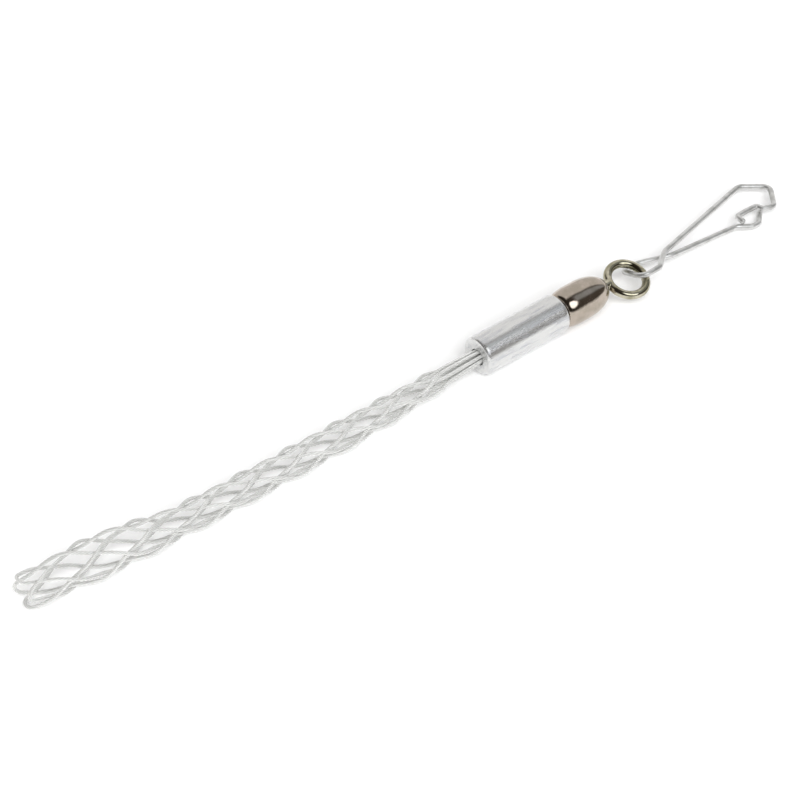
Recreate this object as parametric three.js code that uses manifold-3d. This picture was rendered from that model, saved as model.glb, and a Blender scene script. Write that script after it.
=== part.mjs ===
// Cable pulling grip: a woven wire sleeve, a crimped ferrule, a ball-bearing swivel and a spring clip.
// Millimetres. X runs along the tool from the sleeve's open end to the clip, and Z is up.
// The tool lies on the plane z = 0 as it rests on a table, under the middle of its box.
import * as THREE from "three";
import { mergeVertices } from "three/addons/utils/BufferGeometryUtils.js";
import Module from "manifold-3d";

const wasm = await Module();
wasm.setup();
const rad = THREE.MathUtils.degToRad;

// Strands and their weave
const STRAND_COUNT = 4; // each strand lies in the weave twice, once each way round
const STRAND_RADIUS = 0.31;
const WEAVE_GAP = 0.1; // left between two strands where they cross
const SLEEVE_LENGTH = 86.8; // from the ferrule to the tips of the end loops
const ROW_SPACING = 4.65; // from one ring of crossings to the next
const LOOP_FILL = 2 / 3; // width of an end loop, as a part of the room it has round the sleeve
const FIRST_LOOP_ANGLE = 74; // degrees round the sleeve from +Y towards +Z
const NECK_LENGTH = 4; // where the strands run side by side before the ferrule
const BUNDLE_GAP = 0.2; // between neighbours in the ferrule

// Radii of the middle surface of the weave, and where they change along the sleeve
const BODY_RADIUS = 2.1;
const TAIL_RADIUS = 2.95; // where the open end is widest
const TIP_RADIUS = 2.35; // at the tips of the end loops
const TAPER_LENGTH = 32;
const TAPER_EASE = 1.5; // 1 is a straight taper, and more opens faster at the ferrule
const FLARE_START = 28; // distance of the flare's start from the loop tips
const FLARE_LENGTH = 14;
const CLOSING_LENGTH = 10; // over which the open end draws in again
const SLEEVE_BOW = 3.4; // how far the open end lies to one side
const BOW_POWER = 4; // how late along the sleeve it turns to that side
const SETTLE_LENGTH = 32; // where the sleeve comes down from the ferrule to the table

// Ferrule
const FERRULE_RADIUS = 3.5;
const FERRULE_LENGTH = 18.3;
const FERRULE_CHAMFER = 0.5;
const BUNDLE_CLEARANCE = 0.11; // between the strands and the ferrule's bore
const STRAND_DEPTH = 8.5; // of the strand ends in the ferrule

// Swivel barrel
const BARREL_GAP = 0.4; // between the ferrule and the barrel
const BARREL_RADIUS = 3.5;
const BARREL_LENGTH = 10.9; // to where the nose would close
const BARREL_WALL = 0.8;
const REAR_ROUNDING = 0.95;
const REAR_ROUNDING_LENGTH = 3;
const NOSE_LENGTH = 6.3;
const NOSE_FULLNESS = 2.3; // 2 is an ellipse, and more is squarer
const NOSE_LAND = 0.3; // flat ring round the shank at the tip

// Tail stud, crimped in the ferrule
const STUD_DEPTH = 8;
const STUD_CLEARANCE = 0.1;
const STUD_HEAD_RADIUS = 2.5;
const STUD_HEAD_LENGTH = 1.1;

// Thrust bearing in the barrel
const BEARING_SEAT = 6.5; // from the barrel's rear to the shoulder inside its nose
const BALL_COUNT = 8;
const BALL_RADIUS = 0.6;
const BALL_CIRCLE = 1.75;
const RACE_THICKNESS = 0.5;
const RACE_RADIUS = 2.45;
const COLLAR_LENGTH = 1.2;
const COLLAR_RADIUS = 2.4;
const RIVET_LENGTH = 0.5;
const RIVET_RADIUS = 1.3;
const BEARING_GAP = 0.1; // running gap on each side of a bearing piece

// Eye
const SHANK_RADIUS = 0.85;
const SHANK_CLEARANCE = 0.12;
const RING_WIRE_RADIUS = 0.8;
const RING_RADIUS = 3.48; // to the middle of its wire
const RING_DROP = 0.88; // the ring stands off the shank's axis by this
const RING_STANDOFF = 0.55; // from the barrel's nose to the ring
const EYE_TILT = 17; // degrees that the ring leans back from lying flat

// Clip
const CLIP_WIRE_RADIUS = 0.55;
const CLIP_STACK_GAP = 0.1; // between its two halves where they cross
const CLIP_INSET = 1.75; // from the middle of the ring's far wire to the clip's near end
const CLIP_HEIGHT = 3.4; // of its near end above the table
const CLIP_LOOP_RISE = 1.1; // one side of its loop passes over the ring's wire, the other under
const CLIP_NEAR_RISE = 0.75; // of the upper side where the loop turns

// Corners of the clip's wire, along and across from its near end
const LONG_TIP = [27.2, -1.7];
const LONG_HOOK_SIDE = [27.5, 0.3];
const LONG_HOOK_TOP = [30.1, 0.5];
const LONG_HOOK_ROOT = [33, 0.5];
const LEG_FOOT = [33.2, -0.8];
const LEG_END = [35.6, -1.5];
const LEG_CORNER = [39.9, 3.4];
const LONG_ARM_END = [35, 6.9];
const LONG_CROSSING = [8.7, 0.35];
const LOOP_LENGTH = 4.2;
const LOOP_LOW_SIDE = -2.9;
const LOOP_HIGH_SIDE = 2.2;
const SHORT_CROSSING = [10.1, -0.1];
const SHORT_ARM_END = [26.3, -0.75];
const SHORT_HOOK_START = [28.9, -2.5];
const SHORT_HOOK_END = [30.6, -2.5];
const SHORT_TIP = [33.6, 0];

// Bend radii of those corners
const HOOK_BEND = 0.8;
const WIDE_HOOK_BEND = 1.3;
const LEG_BEND = 1.4;
const CORNER_BEND = 1.6;
const ARM_BEND = 2.2;
const LOOP_BEND = 1.7;
const LOOP_LOW_BEND = 1.2;
const CROSSING_BEND = 4;

// Facets
const STRAND_STEPS = 210;
const STRAND_SIDES = 6;
const ROUND_SEGMENTS = 32;
const SMALL_SEGMENTS = 20;
const WIRE_SIDES = 8;
const CLIP_STEPS = 180;
const RING_STEPS = 36;

// Sizes that follow from those above
const loopPitch = 360 / STRAND_COUNT;
const rowAngle = loopPitch / 2;
const turnRate = rowAngle / ROW_SPACING;
const loopHalfAngle = (LOOP_FILL * loopPitch) / 2;
const weaveRise = STRAND_RADIUS + WEAVE_GAP / 2;
const bundleRadius = (STRAND_RADIUS + BUNDLE_GAP / 2) / Math.sin(rad(rowAngle / 2));
const boreRadius = bundleRadius + STRAND_RADIUS + BUNDLE_CLEARANCE;
const studRadius = boreRadius - STUD_CLEARANCE;
const axisHeight = Math.max(FERRULE_RADIUS, BARREL_RADIUS);
const barrelStart = FERRULE_LENGTH + BARREL_GAP;
const noseBore = SHANK_RADIUS + SHANK_CLEARANCE;
const noseTip = noseBore + NOSE_LAND;

const smooth = (value, from, to) => THREE.MathUtils.smoothstep(value, from, to);

const finishes = {
  strand: new THREE.MeshStandardMaterial({ color: 0xbcbeba, roughness: 0.38, metalness: 1 }),
  ferrule: new THREE.MeshStandardMaterial({ color: 0xc9cdd1, roughness: 0.22, metalness: 1 }),
  darkNickel: new THREE.MeshStandardMaterial({ color: 0x6d6458, roughness: 0.16, metalness: 1 }),
  bearing: new THREE.MeshStandardMaterial({ color: 0xd4d6d8, roughness: 0.1, metalness: 1 }),
  clip: new THREE.MeshStandardMaterial({ color: 0xb9bab8, roughness: 0.25, metalness: 1 }),
};

function piece(name, geometry, finish) {
  const mesh = new THREE.Mesh(geometry, finish.clone());
  mesh.name = name;
  return mesh;
}

// A closed geometry as a solid for joining, with its shared corners merged.
function solidOf(geometry) {
  const bare = geometry.clone();
  bare.deleteAttribute("normal");
  bare.deleteAttribute("uv");
  const merged = mergeVertices(bare, 1e-4);
  return new wasm.Manifold(
    new wasm.Mesh({
      numProp: 3,
      vertProperties: merged.attributes.position.array,
      triVerts: new Uint32Array(merged.index.array),
    }),
  );
}

function geometryOf(solid) {
  const { vertProperties, triVerts } = solid.getMesh();
  const geometry = new THREE.BufferGeometry();
  geometry.setAttribute("position", new THREE.BufferAttribute(vertProperties, 3));
  geometry.setIndex(new THREE.BufferAttribute(triVerts, 1));
  geometry.computeVertexNormals();
  return geometry;
}

// A turned piece about the X axis. Its profile is a list of [along, radius], anticlockwise seen with
// X to the right and the radius up, so that its faces point out.
function turned(profile, segments) {
  const points = profile.map(([along, radius]) => new THREE.Vector2(radius, along)).reverse();
  return new THREE.LatheGeometry(points, segments).rotateZ(-Math.PI / 2);
}

// A pierced disc from one place to another along X.
function washer(from, to, inner, outer, segments) {
  const profile = [
    [from, inner],
    [to, inner],
    [to, outer],
    [from, outer],
    [from, inner],
  ];
  return turned(profile, segments);
}

// A round wire along a curve, closed at both ends.
function wireAlong(path, radius, sides, steps) {
  const section = new THREE.Shape().absarc(0, 0, radius, 0, 2 * Math.PI, false);
  return new THREE.ExtrudeGeometry(section, {
    curveSegments: sides / 2,
    steps,
    bevelEnabled: false,
    extrudePath: path,
  });
}

// Radius of the weave's middle surface, at a distance from the ferrule towards the open end.
function weaveRadius(distance) {
  const tapered = THREE.MathUtils.clamp(distance / TAPER_LENGTH, 0, 1);
  const flareStart = SLEEVE_LENGTH - FLARE_START;
  const flare = smooth(distance, flareStart, flareStart + FLARE_LENGTH);
  const closing = smooth(distance, SLEEVE_LENGTH - CLOSING_LENGTH, SLEEVE_LENGTH);
  const body = THREE.MathUtils.lerp(BODY_RADIUS, bundleRadius, (1 - tapered) ** TAPER_EASE);
  return body + (TAIL_RADIUS - BODY_RADIUS) * flare + (TIP_RADIUS - TAIL_RADIUS) * closing;
}

// Middle line of the sleeve: straight out of the ferrule, then down to the table and off to a side.
function sleeveCentre(distance) {
  const out = Math.max(distance, 0);
  const settled = smooth(distance, 0, SETTLE_LENGTH);
  const onTable = weaveRadius(distance) + weaveRise + STRAND_RADIUS;
  const side = SLEEVE_BOW * (out / SLEEVE_LENGTH) ** BOW_POWER;
  return new THREE.Vector3(-distance, side, THREE.MathUtils.lerp(axisHeight, onTable, settled));
}

// The bend at a strand's end loop is a circle on the unrolled sleeve that the two arms run into.
const armSlope = Math.atan2(1, rad(turnRate) * TIP_RADIUS);
const loopBend = (rad(loopHalfAngle) * TIP_RADIUS) / Math.sin(armSlope);
const loopBase = SLEEVE_LENGTH - loopBend * (1 - Math.cos(armSlope));

// The turn ends half-way between two rows, so that all the strands lie side by side in the neck.
const rowsAtNeck = (loopHalfAngle + turnRate * (loopBase - NECK_LENGTH)) / rowAngle;
const lastTurn = (Math.floor(rowsAtNeck - 0.5) + 0.5) * rowAngle;
const strandSweep = loopHalfAngle + turnRate * (loopBase + STRAND_DEPTH);
const TURN_EASE = 6; // degrees over which the turn dies away

// One strand. It leaves the ferrule, winds round the sleeve, turns back at the open end and winds
// on round to the ferrule. It goes over one crossing and under the next all the way.
class StrandCurve extends THREE.Curve {
  constructor(loopAngle) {
    super();
    this.loopAngle = loopAngle;
    this.arcLengthDivisions = 2400;
  }

  getPoint(t, target = new THREE.Vector3()) {
    const sweep = (2 * t - 1) * strandSweep;
    const side = Math.sign(sweep);
    const travel = Math.abs(sweep);
    const left = (lastTurn - travel) / TURN_EASE;
    const turn = lastTurn - TURN_EASE * (left > 30 ? left : Math.log1p(Math.exp(left)));
    let distance = loopBase - (travel - loopHalfAngle) / turnRate;
    if (travel < loopHalfAngle) {
      const along = Math.asin((travel / loopHalfAngle) * Math.sin(armSlope));
      distance = loopBase + loopBend * (Math.cos(along) - Math.cos(armSlope));
    }
    const row = turn / rowAngle;
    const wave = row < 1 ? Math.sin((Math.PI * row) / 2) : Math.cos(Math.PI * (row - 1));
    const radius = weaveRadius(distance) - side * weaveRise * wave;
    const angle = rad(this.loopAngle + side * turn);
    target.copy(sleeveCentre(distance));
    target.y += radius * Math.cos(angle);
    target.z += radius * Math.sin(angle);
    return target;
  }
}

function sleeve() {
  const group = new THREE.Group();
  for (let index = 0; index < STRAND_COUNT; index += 1) {
    const path = new StrandCurve(FIRST_LOOP_ANGLE + index * loopPitch);
    const wire = wireAlong(path, STRAND_RADIUS, STRAND_SIDES, STRAND_STEPS);
    group.add(piece(`mesh_strand_${index + 1}`, wire, finishes.strand));
  }
  return group;
}

function ferrule() {
  const end = FERRULE_LENGTH;
  const profile = [
    [0, boreRadius],
    [end, boreRadius],
    [end, FERRULE_RADIUS - FERRULE_CHAMFER],
    [end - FERRULE_CHAMFER, FERRULE_RADIUS],
    [FERRULE_CHAMFER, FERRULE_RADIUS],
    [0, FERRULE_RADIUS - FERRULE_CHAMFER],
    [0, boreRadius],
  ];
  return piece("crimp_ferrule", turned(profile, ROUND_SEGMENTS), finishes.ferrule);
}

// Places along X inside the barrel, from the stud's head at the rear to the nose's shoulder.
const studHead = barrelStart + BARREL_WALL + STUD_CLEARANCE;
const bearingParts = [RIVET_LENGTH, COLLAR_LENGTH, RACE_THICKNESS, 2 * BALL_RADIUS, RACE_THICKNESS];
const bearingLength = bearingParts.reduce((sum, part) => sum + part + BEARING_GAP, 0);
const noseStart = barrelStart + BARREL_LENGTH - NOSE_LENGTH;
const shoulder = barrelStart + BEARING_SEAT;
const rivetStart = shoulder - bearingLength;
const collarStart = rivetStart + RIVET_LENGTH + BEARING_GAP;
const collarRaceStart = collarStart + COLLAR_LENGTH + BEARING_GAP;
const ballStart = collarRaceStart + RACE_THICKNESS + BEARING_GAP;
const noseRaceStart = ballStart + 2 * BALL_RADIUS + BEARING_GAP;

// The nose is a quarter of a full oval, cut off where the flat ring at its tip begins.
function noseOutline() {
  const power = 2 / NOSE_FULLNESS;
  const stop = Math.acos((noseTip / BARREL_RADIUS) ** (1 / power));
  const steps = 7;
  const points = [];
  for (let step = 0; step <= steps; step += 1) {
    const angle = (stop * step) / steps;
    const along = noseStart + NOSE_LENGTH * Math.sin(angle) ** power;
    points.push([along, BARREL_RADIUS * Math.cos(angle) ** power]);
  }
  return points;
}

const noseEnd = noseOutline().at(-1)[0];

function barrel() {
  const rearBore = studRadius + STUD_CLEARANCE;
  const cavity = BARREL_RADIUS - BARREL_WALL;
  const rearSteps = 4;
  const rear = [];
  for (let step = 0; step <= rearSteps; step += 1) {
    const angle = (Math.PI / 2) * (step / rearSteps);
    const along = barrelStart + REAR_ROUNDING_LENGTH * (1 - Math.sin(angle));
    rear.push([along, BARREL_RADIUS - REAR_ROUNDING * (1 - Math.cos(angle))]);
  }
  const profile = [
    [barrelStart, rearBore],
    [barrelStart + BARREL_WALL, rearBore],
    [barrelStart + BARREL_WALL, cavity],
    [shoulder, cavity],
    [shoulder, noseBore],
    [noseEnd, noseBore],
    ...noseOutline().reverse(),
    ...rear,
    [barrelStart, rearBore],
  ];
  return piece("swivel_barrel", turned(profile, ROUND_SEGMENTS), finishes.darkNickel);
}

function tailStud() {
  const start = FERRULE_LENGTH - STUD_DEPTH;
  const profile = [
    [start, 0],
    [studHead + STUD_HEAD_LENGTH, 0],
    [studHead + STUD_HEAD_LENGTH, STUD_HEAD_RADIUS],
    [studHead, STUD_HEAD_RADIUS],
    [studHead, studRadius],
    [start + STUD_CLEARANCE, studRadius],
    [start, studRadius - STUD_CLEARANCE],
    [start, 0],
  ];
  return piece("tail_stud", turned(profile, SMALL_SEGMENTS), finishes.darkNickel);
}

function bearing() {
  const group = new THREE.Group();
  const noseRace = washer(
    noseRaceStart, noseRaceStart + RACE_THICKNESS, noseBore, RACE_RADIUS, SMALL_SEGMENTS,
  );
  group.add(piece("nose_race", noseRace, finishes.bearing));
  for (let index = 0; index < BALL_COUNT; index += 1) {
    const ball = piece(
      `bearing_ball_${index + 1}`,
      new THREE.SphereGeometry(BALL_RADIUS, 8, 6),
      finishes.bearing,
    );
    const angle = (2 * Math.PI * index) / BALL_COUNT;
    ball.position.x = ballStart + BALL_RADIUS;
    ball.position.y = BALL_CIRCLE * Math.cos(angle);
    ball.position.z = BALL_CIRCLE * Math.sin(angle);
    group.add(ball);
  }
  return group;
}

// The ring lies in the eye's own XY plane, and its far wire carries the clip.
const ringCentre = noseEnd + RING_STANDOFF + RING_WIRE_RADIUS + RING_RADIUS;

function eye() {
  const group = new THREE.Group();
  group.rotation.x = rad(EYE_TILT);
  const shankEnd = ringCentre - RING_RADIUS;
  const shank = [
    [rivetStart, 0],
    [shankEnd, 0],
    [shankEnd, SHANK_RADIUS],
    [rivetStart + RIVET_LENGTH, SHANK_RADIUS],
    [rivetStart + RIVET_LENGTH, RIVET_RADIUS],
    [rivetStart, RIVET_RADIUS],
    [rivetStart, 0],
  ];
  const ring = new THREE.TorusGeometry(RING_RADIUS, RING_WIRE_RADIUS, WIRE_SIDES, RING_STEPS);
  ring.translate(ringCentre, -RING_DROP, 0);
  const joined = solidOf(turned(shank, SMALL_SEGMENTS)).add(solidOf(ring));
  group.add(piece("swivel_eye", geometryOf(joined), finishes.darkNickel));
  const collar = washer(
    collarStart, collarStart + COLLAR_LENGTH, noseBore, COLLAR_RADIUS, SMALL_SEGMENTS,
  );
  group.add(piece("shank_collar", collar, finishes.darkNickel));
  const collarRace = washer(
    collarRaceStart, collarRaceStart + RACE_THICKNESS, noseBore, RACE_RADIUS, SMALL_SEGMENTS,
  );
  group.add(piece("collar_race", collarRace, finishes.bearing));
  return group;
}

// A wire's middle line through corner points, each rounded to a bend radius.
function bentLine(corners) {
  const path = new THREE.CurvePath();
  let from = corners[0].at;
  for (let index = 1; index < corners.length - 1; index += 1) {
    const { at, bend } = corners[index];
    const before = corners[index - 1].at.clone().sub(at);
    const after = corners[index + 1].at.clone().sub(at);
    const half = before.angleTo(after) / 2;
    const most = Math.min(before.length(), after.length()) * 0.49;
    const cut = Math.min(bend / Math.tan(half), most);
    const start = at.clone().add(before.setLength(cut));
    const end = at.clone().add(after.setLength(cut));
    path.add(new THREE.LineCurve3(from, start));
    path.add(new THREE.QuadraticBezierCurve3(start, at, end));
    from = end;
  }
  path.add(new THREE.LineCurve3(from, corners.at(-1).at));
  return path;
}

// The clip is one wire. Its long arm runs above its short arm where they cross and where they latch.
const clipRise = CLIP_WIRE_RADIUS + CLIP_STACK_GAP / 2;
const clipSlope = Math.asin((CLIP_HEIGHT - clipRise - CLIP_WIRE_RADIUS) / LEG_END[0]);

function clipCorners() {
  const corner = ([along, across], up, bend = HOOK_BEND) => ({
    at: new THREE.Vector3(along, across, up),
    bend,
  });
  return [
    corner(LONG_TIP, clipRise),
    corner(LONG_HOOK_SIDE, clipRise),
    corner(LONG_HOOK_TOP, clipRise),
    corner(LONG_HOOK_ROOT, clipRise),
    corner(LEG_FOOT, clipRise),
    corner(LEG_END, clipRise, LEG_BEND),
    corner(LEG_CORNER, clipRise, CORNER_BEND),
    corner(LONG_ARM_END, clipRise, ARM_BEND),
    corner(LONG_CROSSING, clipRise, CROSSING_BEND),
    corner([LOOP_LENGTH, LOOP_LOW_SIDE], CLIP_LOOP_RISE, LOOP_LOW_BEND),
    corner([0, LOOP_LOW_SIDE], CLIP_NEAR_RISE, LOOP_BEND),
    corner([0, LOOP_HIGH_SIDE], -CLIP_LOOP_RISE, LOOP_BEND),
    corner([LOOP_LENGTH, LOOP_HIGH_SIDE], -CLIP_LOOP_RISE, CROSSING_BEND),
    corner(SHORT_CROSSING, -clipRise, CROSSING_BEND),
    corner(SHORT_ARM_END, -clipRise, ARM_BEND),
    corner(SHORT_HOOK_START, -clipRise, WIDE_HOOK_BEND),
    corner(SHORT_HOOK_END, -clipRise, WIDE_HOOK_BEND),
    corner(SHORT_TIP, -clipRise),
  ];
}

function clip() {
  const group = new THREE.Group();
  group.position.set(ringCentre + RING_RADIUS - CLIP_INSET, 0, CLIP_HEIGHT);
  group.rotation.y = clipSlope;
  const line = bentLine(clipCorners());
  const wire = wireAlong(line, CLIP_WIRE_RADIUS, WIRE_SIDES, CLIP_STEPS);
  group.add(piece("snap_clip", wire, finishes.clip));
  return group;
}

const head = new THREE.Group();
head.position.z = axisHeight;
head.add(ferrule(), barrel(), tailStud(), bearing(), eye());

const tool = new THREE.Group();
tool.add(sleeve(), head, clip());

// The tool's origin is the middle of its box, on the table.
const box = new THREE.Box3().setFromObject(tool, true);
const middle = box.getCenter(new THREE.Vector3());
tool.position.set(-middle.x, -middle.y, -box.min.z);

const group = new THREE.Group();
group.add(tool);
export default group;
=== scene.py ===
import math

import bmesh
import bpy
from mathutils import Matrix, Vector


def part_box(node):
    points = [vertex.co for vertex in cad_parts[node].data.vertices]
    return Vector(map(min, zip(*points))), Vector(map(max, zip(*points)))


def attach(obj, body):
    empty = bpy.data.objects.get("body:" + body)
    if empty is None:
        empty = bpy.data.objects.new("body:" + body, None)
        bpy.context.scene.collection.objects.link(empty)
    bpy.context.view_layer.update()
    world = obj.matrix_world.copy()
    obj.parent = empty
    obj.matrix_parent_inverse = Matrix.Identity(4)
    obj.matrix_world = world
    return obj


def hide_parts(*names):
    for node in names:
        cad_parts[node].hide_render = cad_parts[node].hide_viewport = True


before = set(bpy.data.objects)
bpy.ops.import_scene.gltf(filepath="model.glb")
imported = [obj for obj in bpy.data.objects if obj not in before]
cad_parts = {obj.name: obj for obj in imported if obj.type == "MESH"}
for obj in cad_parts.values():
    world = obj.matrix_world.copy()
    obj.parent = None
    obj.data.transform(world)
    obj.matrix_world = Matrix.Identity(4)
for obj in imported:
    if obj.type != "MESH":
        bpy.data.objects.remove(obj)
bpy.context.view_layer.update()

# %% [markdown]
# # A woven cable pulling grip
# This notebook dresses a small cable pulling grip. The real tool is a sleeve of woven wire strands
# that tightens round a cable's end, an aluminium ferrule crimped on the strands, a ball-bearing
# swivel in a dark nickel barrel, a ring, and a spring wire clip. The working solids are loaded
# already and stay where they are. Each cell makes the fine piece that is seen in place of one.

MM = 0.001

ferrule_low, ferrule_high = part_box("crimp_ferrule")
FERRULE_RADIUS = (ferrule_high.z - ferrule_low.z) / 2 / MM
FERRULE_LENGTH = (ferrule_high.x - ferrule_low.x) / MM
AXIS_HEIGHT = (ferrule_high.z + ferrule_low.z) / 2 / MM
ORIGIN = Vector((ferrule_low.x, (ferrule_low.y + ferrule_high.y) / 2, 0))


def place(point):
    """A point given in millimetres from the ferrule's near face, in the frame's metres."""
    return ORIGIN + Vector(point) * MM


def along_axis(node):
    """Where a piece starts and ends along the tool, in millimetres from the ferrule's near face."""
    low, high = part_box(node)
    return (low.x - ORIGIN.x) / MM, (high.x - ORIGIN.x) / MM


print(f"ferrule: {2 * FERRULE_RADIUS:.1f} mm across, {FERRULE_LENGTH:.1f} mm long")

# %% [markdown]
# ## Camera, floor and light
# Bright metal has hardly a colour of its own: it shows what stands round it. The tool lies on a
# white table in a white tent. Over it the tent is open to a dark ceiling, which comes down nearly
# to the table on the sleeve's side and has a dim window on the clip's side. One soft lamp hangs
# before the tool. All of this is a sky that is worked out from the direction alone, and every
# curved surface mirrors it. Lamps alone would leave the metal black between them. A broad fill
# light from the camera's side serves what doesn't mirror: the table and the dull part of the zinc.

# %% Camera
CAMERA_AZIMUTH = -40
CAMERA_ELEVATION = 41.5
CAMERA_DISTANCE = 350
CAMERA_AIM = (-12.8, 4.7, -1.9)
CAMERA_LENS = 94.5
CAMERA_SENSOR = 36
CAMERA_NEAREST = 10


def link(made):
    """Puts an object in the scene."""
    bpy.context.scene.collection.objects.link(made)
    return made


def direction(azimuth, elevation):
    """The direction from the tool towards a viewer, with azimuth 0 looking along +Y."""
    turn, rise = math.radians(azimuth), math.radians(elevation)
    flat = math.cos(rise)
    return Vector((math.sin(turn) * flat, -math.cos(turn) * flat, math.sin(rise)))


back = direction(CAMERA_AZIMUTH, CAMERA_ELEVATION)
camera = link(bpy.data.objects.new("camera", bpy.data.cameras.new("camera")))
camera.location = place(CAMERA_AIM) + back * CAMERA_DISTANCE * MM
camera.rotation_mode = "QUATERNION"
camera.rotation_quaternion = (-back).to_track_quat("-Z", "Y")
camera.data.sensor_width = CAMERA_SENSOR
camera.data.lens = CAMERA_LENS
camera.data.clip_start = CAMERA_NEAREST * MM
bpy.context.scene.camera = camera
bpy.context.scene.view_settings.view_transform = "Standard"
print("camera at", [round(value / MM) for value in camera.location], "mm")

# %% [markdown]
# ### A small helper for nodes
# Both materials and shapes are built from nodes below. A wrapped socket lets a sum or a product be
# written as one, such as `0.3 + 0.1 * grain`, and one method makes any other node.

# %% Nodes written as expressions
class Field:
    """A value that varies over a surface or a shape: one output socket of a node."""

    def __init__(self, socket):
        self.socket = socket
        self.tree = socket.id_data

    def node(self, kind, settings=None, inputs=None, output=0):
        """Adds a node: its settings are set first, and then its sockets' values or links."""
        made = self.tree.nodes.new(kind)
        for name, value in (settings or {}).items():
            if name == "captures":
                for label, field_type in value.items():
                    made.capture_items.new(field_type, label)
            else:
                setattr(made, name, value)
        for name, value in (inputs or {}).items():
            for one in value if isinstance(value, list) else [value]:
                if isinstance(one, Field):
                    self.tree.links.new(one.socket, made.inputs[name])
                else:
                    made.inputs[name].default_value = one
        return Field(made.outputs[output])

    def other(self, output):
        """Another output of the node that this one comes from."""
        return Field(self.socket.node.outputs[output])

    def math(self, operation, *values):
        return self.node("ShaderNodeMath", {"operation": operation}, dict(enumerate(values)))

    def vector(self, operation, *values, output=0):
        settings = {"operation": operation}
        return self.node("ShaderNodeVectorMath", settings, dict(enumerate(values)), output)

    def scaled(self, factor):
        """A vector made longer or shorter."""
        return self.node("ShaderNodeVectorMath", {"operation": "SCALE"}, {0: self, 3: factor})

    def __add__(self, other):
        return self.math("ADD", self, other)

    def __radd__(self, other):
        return self.math("ADD", other, self)

    def __sub__(self, other):
        return self.math("SUBTRACT", self, other)

    def __rsub__(self, other):
        return self.math("SUBTRACT", other, self)

    def __mul__(self, other):
        return self.math("MULTIPLY", self, other)

    def __rmul__(self, other):
        return self.math("MULTIPLY", other, self)

    def __truediv__(self, other):
        return self.math("DIVIDE", self, other)

    def between(self, low, high):
        """0 up to low, 1 from high, and a smooth rise between them."""
        inputs = {"Value": self, "From Min": low, "From Max": high}
        return self.node("ShaderNodeMapRange", {"interpolation_type": "SMOOTHSTEP"}, inputs)

    def blend(self, first, second):
        """The first colour where the field is 0 and the second where it is 1."""
        settings = {"data_type": "RGBA", "clamp_factor": True}
        return self.node("ShaderNodeMix", settings, {0: self, 6: first, 7: second}, 2)


def grey(level, warmth=0.0):
    """A grey of some brightness, warmer or cooler, as a colour."""
    return (level * (1 + warmth), level, level * (1 - warmth), 1)


print("node helper ready")

# %% What stands round the tool
# Angles are in degrees. Those named _MIDDLE go round the tool's axis from +Y, with 90 straight up.
# Those named _FROM, _TO or _BELOW are how far a direction leans towards the clip, which is at +X.
NEAR_WHITE = grey(1.0)
FAR_GREY = grey(0.88, 0.01)
HORIZON_BLUR = 0.02
CEILING_DARK = grey(0.03, 0.2)
CEILING_DIM = grey(0.1, 0.15)
CEILING_MIDDLE = 130
CEILING_HALF_WIDTH = 42
CEILING_EDGE = 7
DIM_FROM, DIM_TO = -30, 60
REAR_DARK_BELOW = -8
REAR_DARK_MIDDLE = 100
REAR_DARK_HALF_WIDTH = 72
WINDOW_GLOW = grey(0.45, -0.06)
WINDOW_MIDDLE = 112
WINDOW_HALF_WIDTH = 15
WINDOW_EDGE = 9
WINDOW_FROM = 12
LAMP_GLOW = grey(2.6, -0.02)
LAMP_AZIMUTH = 4
LAMP_ELEVATION = 45.5
LAMP_HALF_WIDTH = 19
LAMP_EDGE = 4
print("dark ceiling", 2 * CEILING_HALF_WIDTH, "degrees wide, lamp", 2 * LAMP_HALF_WIDTH, "degrees")

# %% Sky
world = bpy.data.worlds.new("tent")
bpy.context.scene.world = world
world.use_nodes = True
sky = Field(world.node_tree.nodes.new("ShaderNodeTexCoord").outputs["Generated"])
parts = sky.node("ShaderNodeSeparateXYZ", inputs={0: sky})
overhead = sky.math("ARCTAN2", parts.other("Z"), parts.other("Y")) * math.degrees(1)
forward = sky.math("ARCSINE", parts) * math.degrees(1)


def within(angle, middle, half_width, edge):
    """1 in a band of angles and 0 outside it, with a soft edge."""
    away = angle.math("ABSOLUTE", angle - middle)
    return 1 - away.between(half_width - edge, half_width + edge)


far_side = 1 - overhead.between(CEILING_MIDDLE - CEILING_EDGE, CEILING_MIDDLE + CEILING_EDGE)
above = parts.other("Z").between(-HORIZON_BLUR, HORIZON_BLUR)
ceiling = within(overhead, CEILING_MIDDLE, CEILING_HALF_WIDTH, CEILING_EDGE)
rear = within(overhead, REAR_DARK_MIDDLE, REAR_DARK_HALF_WIDTH, CEILING_EDGE)
rear = rear * (1 - forward.between(REAR_DARK_BELOW - CEILING_EDGE, REAR_DARK_BELOW + CEILING_EDGE))
ceiling = ceiling.math("MAXIMUM", ceiling, rear)
ceiling_shade = forward.between(DIM_FROM, DIM_TO).blend(CEILING_DARK, CEILING_DIM)
window = within(overhead, WINDOW_MIDDLE, WINDOW_HALF_WIDTH, WINDOW_EDGE)
window = window * forward.between(WINDOW_FROM, WINDOW_FROM + 2 * WINDOW_EDGE)
towards_lamp = sky.vector("DOT_PRODUCT", sky, direction(LAMP_AZIMUTH, LAMP_ELEVATION), output=1)
off_lamp = sky.math("ARCCOSINE", towards_lamp) * math.degrees(1)
lamp = 1 - off_lamp.between(LAMP_HALF_WIDTH - LAMP_EDGE, LAMP_HALF_WIDTH + LAMP_EDGE)
tent = (far_side * above).blend(NEAR_WHITE, FAR_GREY)
dark = window.blend(ceiling_shade, WINDOW_GLOW)
light = lamp.blend(ceiling.blend(tent, dark), LAMP_GLOW)
world.node_tree.links.new(light.socket, world.node_tree.nodes["Background"].inputs["Color"])
print("sky made:", world.name)

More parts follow.
